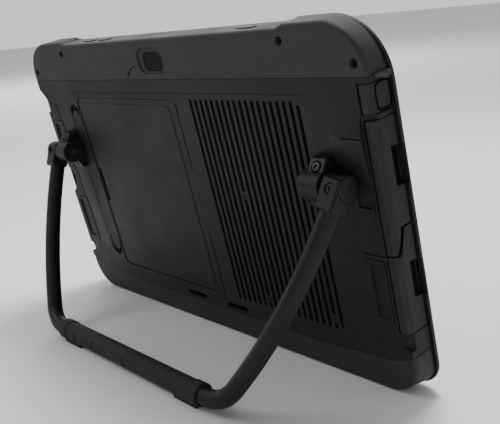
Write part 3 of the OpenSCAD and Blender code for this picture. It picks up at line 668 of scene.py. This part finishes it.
def bead(name, run, radius, material, slot, body, closed=False, place=onTablet):
    # a thin round strip along a run of points, flattened to nothing at open ends
    run = np.asarray(run, float)
    ahead = np.roll(run, -1, 0) - np.roll(run, 1, 0) if closed else np.gradient(run, axis=0)
    ahead /= np.linalg.norm(ahead, axis=1, keepdims=True)
    side = np.cross(ahead, strip["aside"])
    side /= np.linalg.norm(side, axis=1, keepdims=True)
    up = np.cross(ahead, side)
    around = np.linspace(0, 2 * np.pi, strip["sides"], endpoint=False)[None, :, None]
    swell = np.sin(np.linspace(strip["taper"], np.pi - strip["taper"], len(run)))
    size = np.full(len(run), radius) if closed else radius * swell
    ring = np.cos(around) * side[:, None] + np.sin(around) * up[:, None]
    points = run[:, None] + size[:, None, None] * ring
    shell = Shell()
    ids = shell.add(points)
    shell.quads(np.concatenate([ids, ids[:1]]) if closed else ids, True)
    if not closed:
        shell.faces += [ids[0].tolist(), ids[-1].tolist()]
    return finishPiece(shell.piece(name, place, strip["smooth"]), body, material, slot)


def smoothRun(corners, steps, closed):
    # each corner becomes a short quadratic bend between the middles of its two sides
    corners = np.asarray(corners, float)
    before, after = (np.roll(corners, 1, 0) + corners) / 2, (np.roll(corners, -1, 0) + corners) / 2
    t = np.linspace(0, 1, steps, endpoint=False)[None, :, None]
    bend = before[:, None] * (1 - t) ** 2 + 2 * corners[:, None] * t * (1 - t) + after[:, None] * t ** 2
    return bend.reshape(-1, 3) if closed else bend[1:-1].reshape(-1, 3)


# The hatch's pressed outline as (depth, height) corners; the flank at depth "from" is "flank" from the middle
# and leans out by "slope"
hatch = {"line": ((4.7, 168.6), (4.5, 177.0), (5.6, 179.6), (8.0, 180.2), (13.4, 180.2), (14.6, 178.6),
                  (14.6, 168.4), (13.0, 166.6), (7.4, 166.6), (5.6, 167.0)),
         "flank": 169.72, "from": 4, "slope": 0.078, "radius": 0.6, "steps": 8}
hatchLine = np.array(hatch["line"])
hatchX = hatch["flank"] + (hatchLine[:, 0] - hatch["from"]) * hatch["slope"]
hatchRun = smoothRun(np.column_stack([hatchX, hatchLine]), hatch["steps"], True)
bead("hatch_outline", hatchRun, hatch["radius"], blackSealAndPaintedShade, "seal", "hatch", True)

# The crease beside the camera, as (x, height) corners at one depth; a thin near-black strip along it is painted
# shade for the crease
crease = {"line": ((-37, 184.0), (-35, 185.0), (-32, 188.0), (-29, 191.0), (-25, 193.0), (-20, 193.6),
                   (-17, 193.7)),
          "depth": -0.02, "radius": 0.42, "steps": 6}
creaseRun = smoothRun([(x, crease["depth"], z) for x, z in crease["line"]], crease["steps"], False)
# the strip's near-black is painted shade along the crease
bead("bumper_crease_painted_shade", creaseRun, crease["radius"], blackSealAndPaintedShade, "bumper", "tablet")

topBumper()
bottomBumper()
print("bumpers done")

# star is the socket's share of the head's radius, and lobe, mouth and floor are shares of the socket's;
# half of round is the share that the edge rounding takes; deep and chamfer are millimetres
starScrew = {"star": 0.46, "lobe": 0.13, "lobes": 6, "mouth": 1.12, "floor": 0.96, "chamfer": 0.12,
             "deep": 0.8, "round": 0.35, "sides": 48, "edgeRings": 5, "smooth": 35}


def starScrews(name, body, material, node, seats, size, place=onTablet):
    # a turned head with a rounded edge and a six-lobed socket, on a plain shank; seats: (spot, direction),
    # size: radius and height of the head, radius and length of the shank
    s = starScrew
    headRadius, headHeight, shankRadius, shankLong = size
    around = np.linspace(0, 2 * np.pi, s["sides"], endpoint=False)
    edge = np.linspace(0, np.pi / 2, s["edgeRings"])
    lip = s["round"] * headRadius / 2
    even = np.ones(s["sides"])
    rings = [(even * shankRadius, -shankLong), (even * shankRadius, 0.0), (even * headRadius, 0.0)]
    rings += [(even * (headRadius - lip + lip * np.cos(a)), headHeight - lip + lip * np.sin(a)) for a in edge]
    star = headRadius * s["star"] * (1 + s["lobe"] * np.cos(s["lobes"] * around))
    rings += [(star * s["mouth"], headHeight), (star, headHeight - s["chamfer"]),
              (star * s["floor"], headHeight - s["deep"])]
    own = np.stack([np.stack([r * np.cos(around), r * np.sin(around), even * h], 1) for r, h in rings])
    shell = Shell()
    for spot, direction in seats:
        ahead = Vector(direction).normalized()
        turn = np.array(ahead.to_track_quat("Z", "Y").to_matrix())
        ids = shell.add(own @ turn.T + spot)
        shell.quads(ids, True)
        shell.faces += [ids[0].tolist(), ids[-1].tolist()]
    return finishPiece(shell.piece(name, place, s["smooth"]), body, material, slotOf[node], node)


outOfRear = (0, -1, 0)
outOfFlange = (0.0, -0.788, 0.6157)     # the hinge blocks' upper flange leans by 38 degrees
screws = {"bumperDepth": 3.4, "bumperSize": (2.2, 1.0, 1.0, 4.0),
          "ventSpots": ((59.6, 111.1), (114.9, 114.9), (59.6, 38.6), (114.9, 38.6)), "ventDepth": 1.1,
          "ventSize": (1.9, 0.9, 0.8, 1.0),
          "hingeSpots": (((135.0, -8.8, 139.9), outOfFlange), ((133.5, -1.0, 118.5), outOfRear)),
          "hingeSize": (2.6, 1.3, 1.2, 4.0), "bailSpot": (148.2, -5.0, -1.6),
          "bailSize": (2.7, 1.6, 1.3, 0.5)}     # places in mm, sizes as starScrews takes them
starScrews("bumper_screws_star", "tablet", blackSteel, "bumper_screws",
           [((x, screws["bumperDepth"], z), outOfRear) for x, z in bumperScrewSpots], screws["bumperSize"])
starScrews("vent_screws_star", "tablet", darkSteel, "vent_screws",
           [((x, screws["ventDepth"], z), outOfRear) for x, z in screws["ventSpots"]], screws["ventSize"])
starScrews("hinge_screws_star", "tablet", darkSteel, "hinge_screws",
           [((side * x, y, z), away) for (x, y, z), away in screws["hingeSpots"] for side in (-1, 1)],
           screws["hingeSize"])
bailX, bailY, bailZ = screws["bailSpot"]
starScrews("bail_screws_star", "bail", darkSteel, "bail_screws",
           [((side * bailX, bailY, bailZ), outOfRear) for side in (-1, 1)], screws["bailSize"], onBail)
print("screws done")

# The arcs' tilts and the hidden stretch inside the cast ends are in degrees, the rest in millimetres
bail = {"halfTop": 148.0, "legRadius": 298.0, "tiltTop": 8.3, "tiltLow": 32.5, "cornerRadius": 23.4,
        "tubeRadius": 5.5, "hidden": 2.4, "grooveWidth": 16.0, "grooveDepth": 0.55, "sides": 72,
        "legRings": 60, "cornerRings": 26, "smooth": 50}


def outFrom(angle):
    # unit steps away from an arc's middle
    return np.stack([np.cos(angle), -np.sin(angle)], 1)


def bailRun():
    # the middle of the tube from the right end round to the left one, with the angle of its outward side:
    # a wide arc for each leg, a tight one for each corner, and a straight bar between them
    b = bail
    tiltTop, tiltLow = np.radians(b["tiltTop"]), np.radians(b["tiltLow"])
    bow = np.array((b["halfTop"] - b["legRadius"] * np.cos(tiltTop), b["legRadius"] * np.sin(tiltTop)))
    corner = bow + (b["legRadius"] - b["cornerRadius"]) * np.array((np.cos(tiltLow), -np.sin(tiltLow)))
    leg = np.linspace(tiltTop + np.radians(b["hidden"]), tiltLow, b["legRings"])
    bend = np.linspace(tiltLow, np.pi / 2, b["cornerRings"])[1:]
    half = np.concatenate([bow + b["legRadius"] * outFrom(leg), corner + b["cornerRadius"] * outFrom(bend)])
    turn = np.concatenate([leg, bend])
    return np.concatenate([half, half[::-1] * (-1, 1)]), np.concatenate([turn, np.pi - turn[::-1]])


def bailTube():
    # a round section carried along the run, its radius less a cosine groove along the outer side
    middle, turn = bailRun()
    around = np.linspace(0, 2 * np.pi, bail["sides"], endpoint=False)
    away = np.degrees(np.abs((around + np.pi) % (2 * np.pi) - np.pi))
    groove = np.where(away < bail["grooveWidth"], np.cos(away / bail["grooveWidth"] * np.pi / 2) ** 0.5, 0)
    radius = bail["tubeRadius"] - bail["grooveDepth"] * groove
    side = (radius * np.cos(around))[None, :]
    x = middle[:, :1] + side * np.cos(turn)[:, None]
    z = middle[:, 1:] - side * np.sin(turn)[:, None]
    y = np.broadcast_to(radius * np.sin(around), x.shape)
    shell = Shell()
    ids = shell.add(np.stack([x, y, z], -1))
    shell.quads(ids, True)
    shell.faces += [ids[0].tolist(), ids[-1].tolist()]
    return finishPiece(shell.piece("bail_tube_bent", onBail, bail["smooth"]), "bail", bailCoat,
                       "bail_paint", "bail_tube")


bailTube()

# panels are (start, end) along the bar; lip, edge and feather are the widths of its steps; the panels face
# "aim" half turns round the bar, and span "panelHalf" degrees to each side
sleeve = {"half": 80.0, "radius": 6.6, "bore": 5.53, "collar": 8.0, "collarRise": 0.55, "sunk": 0.8,
          "panels": ((-60.0, -39.0), (-36.0, -15.0), (3.5, 60.0)), "panelHalf": 34.0, "feather": 5.0,
          "aim": 1.35, "edge": 0.5, "lip": 0.6, "lipDrop": 0.5, "panelSteps": (-0.4, -0.2, 0, 0.2, 0.4),
          "rings": 161, "endRings": 6, "sides": 96, "smooth": 50}


def stepBetween(value, low, high, soft):
    # 1 between low and high, easing to 0 over soft beyond them
    return np.clip((value - low) / soft + 1, 0, 1) * np.clip((high - value) / soft + 1, 0, 1)


def gripSleeve():
    # radius along the bar: collars at the ends, and shallow panels sunk into the rear side
    g = sleeve
    ends = np.linspace(0, 1, g["endRings"])
    collarAt = g["half"] - g["collar"] + ends * g["edge"] - g["edge"]
    lipAt = g["half"] - ends * g["lip"]
    steps = [np.add.outer(p, g["panelSteps"]).ravel() for p in g["panels"]]
    along = np.unique(np.concatenate([np.linspace(-g["half"], g["half"], g["rings"]),
                                      collarAt, -collarAt, lipAt, -lipAt] + steps))
    around = np.linspace(0, 2 * np.pi, g["sides"], endpoint=False)
    fromEnd = g["half"] - np.abs(along)
    collar = stepBetween(fromEnd, 0, g["collar"], g["edge"])
    rounding = g["lipDrop"] * (1 - np.clip(fromEnd / g["lip"], 0, 1)) ** 2
    tilt = np.degrees(np.abs((around - np.pi * g["aim"] + np.pi) % (2 * np.pi) - np.pi))
    panel = sum(stepBetween(along, low, high, g["edge"]) for low, high in g["panels"])
    depth = g["sunk"] * panel[:, None] * stepBetween(tilt, -1, g["panelHalf"], g["feather"])[None]
    radius = (g["radius"] + g["collarRise"] * collar - rounding)[:, None] - depth
    bore = np.full((1, len(around)), g["bore"])
    radius = np.concatenate([bore, radius, bore])
    x = np.concatenate([along[:1], along, along[-1:]])[:, None] + 0 * radius
    points = np.stack([x, radius * np.sin(around), radius * np.cos(around) - bailLength], -1)
    shell = Shell()
    ids = shell.add(points)
    shell.quads(np.concatenate([ids, ids[:1]]), True)
    return finishPiece(shell.piece("grip_sleeve_moulded", onBail, g["smooth"]), "bail", gripRubber,
                       "grip", "grip_sleeve")


gripSleeve()
softened("bail_feet", gripRubber, edgeWidth["foot"])
print("bail done")

# world is its strength from the right and from the left, over the range "spread" of the direction
studio = {"floorSize": 60.0, "floor": (0.93, 0.93, 0.935, 1), "floorRough": 0.8,
          "world": (0.12, 0.92), "spread": (-1.2, 1.2)}
bpy.ops.mesh.primitive_plane_add(size=studio["floorSize"])
floor = bpy.context.object
floor.name = "studioFloor"
floorPaint, _, floorShader, _ = newMaterial("floorPaint")
floorShader.inputs["Base Color"].default_value = studio["floor"]
floorShader.inputs["Roughness"].default_value = studio["floorRough"]
floor.data.materials.append(floorPaint)

world = bpy.data.worlds.new("studio")
world.use_nodes = True
worldTree = world.node_tree
backdrop = worldTree.nodes["Background"]
backdrop.inputs["Color"].default_value = (1, 1, 1, 1)
direction = worldTree.nodes.new("ShaderNodeSeparateXYZ")
worldTree.links.new(worldTree.nodes.new("ShaderNodeTexCoord").outputs["Generated"], direction.inputs[0])
leftness = mathNode(worldTree, "SUBTRACT", direction.outputs["Y"], direction.outputs["X"])
fromLeft = rangeOf(worldTree, leftness, *studio["spread"], *studio["world"])
worldTree.links.new(fromLeft, backdrop.inputs["Strength"])
scene.world = world

centre = (Vector(cadBounds[0]) + Vector(cadBounds[1])) / 2

# Each light's place, size, power and what it points at, in metres and watts
lights = {"keyLight": ((-0.42, -0.45, 0.62), 0.35, 1.2, centre),
          "fillLight": ((0.75, -0.7, 0.35), 0.8, 1.5, centre),
          "topLight": ((-0.1, 0.5, 1.1), 0.5, 12, centre),
          "backLight": ((-2.4, 1.6, 1.6), 1.6, 40, (-2.4, 1.6, 0))}


def softLight(name, place, size, power, aim):
    # a round area light turned towards aim
    lamp = bpy.data.lights.new(name, "AREA")
    lamp.shape = "DISK"
    lamp.size = size
    lamp.energy = power
    holder = bpy.data.objects.new(name, lamp)
    holder.location = place
    holder.rotation_euler = (Vector(aim) - Vector(place)).to_track_quat("-Z", "Y").to_euler()
    scene.collection.objects.link(holder)


for lightName, (place, size, power, aim) in lights.items():
    softLight(lightName, place, size, power, aim)

# The camera's place and axes in the tablet's own axes, in millimetres
view = {"place": (398.2, -264.2, 262.0), "right": (0.664, 0.71476, -0.21957),
        "down": (0.12549, -0.39601, -0.90963), "ahead": (-0.73712, 0.57645, -0.35265),
        "lens": 53.7, "sensor": 36}
lens = bpy.data.cameras.new("camera")
lens.lens = view["lens"]
lens.sensor_width = view["sensor"]
camera = bpy.data.objects.new("camera", lens)
scene.collection.objects.link(camera)
turned = np.array([view["right"], view["down"], view["ahead"]]) @ tabletAxes * ((1,), (-1,), (-1,))
place = Matrix(turned.T.tolist()).to_4x4()
place.translation = Vector(onTablet([view["place"]])[0])
camera.matrix_world = place
scene.camera = camera
print("stage done")
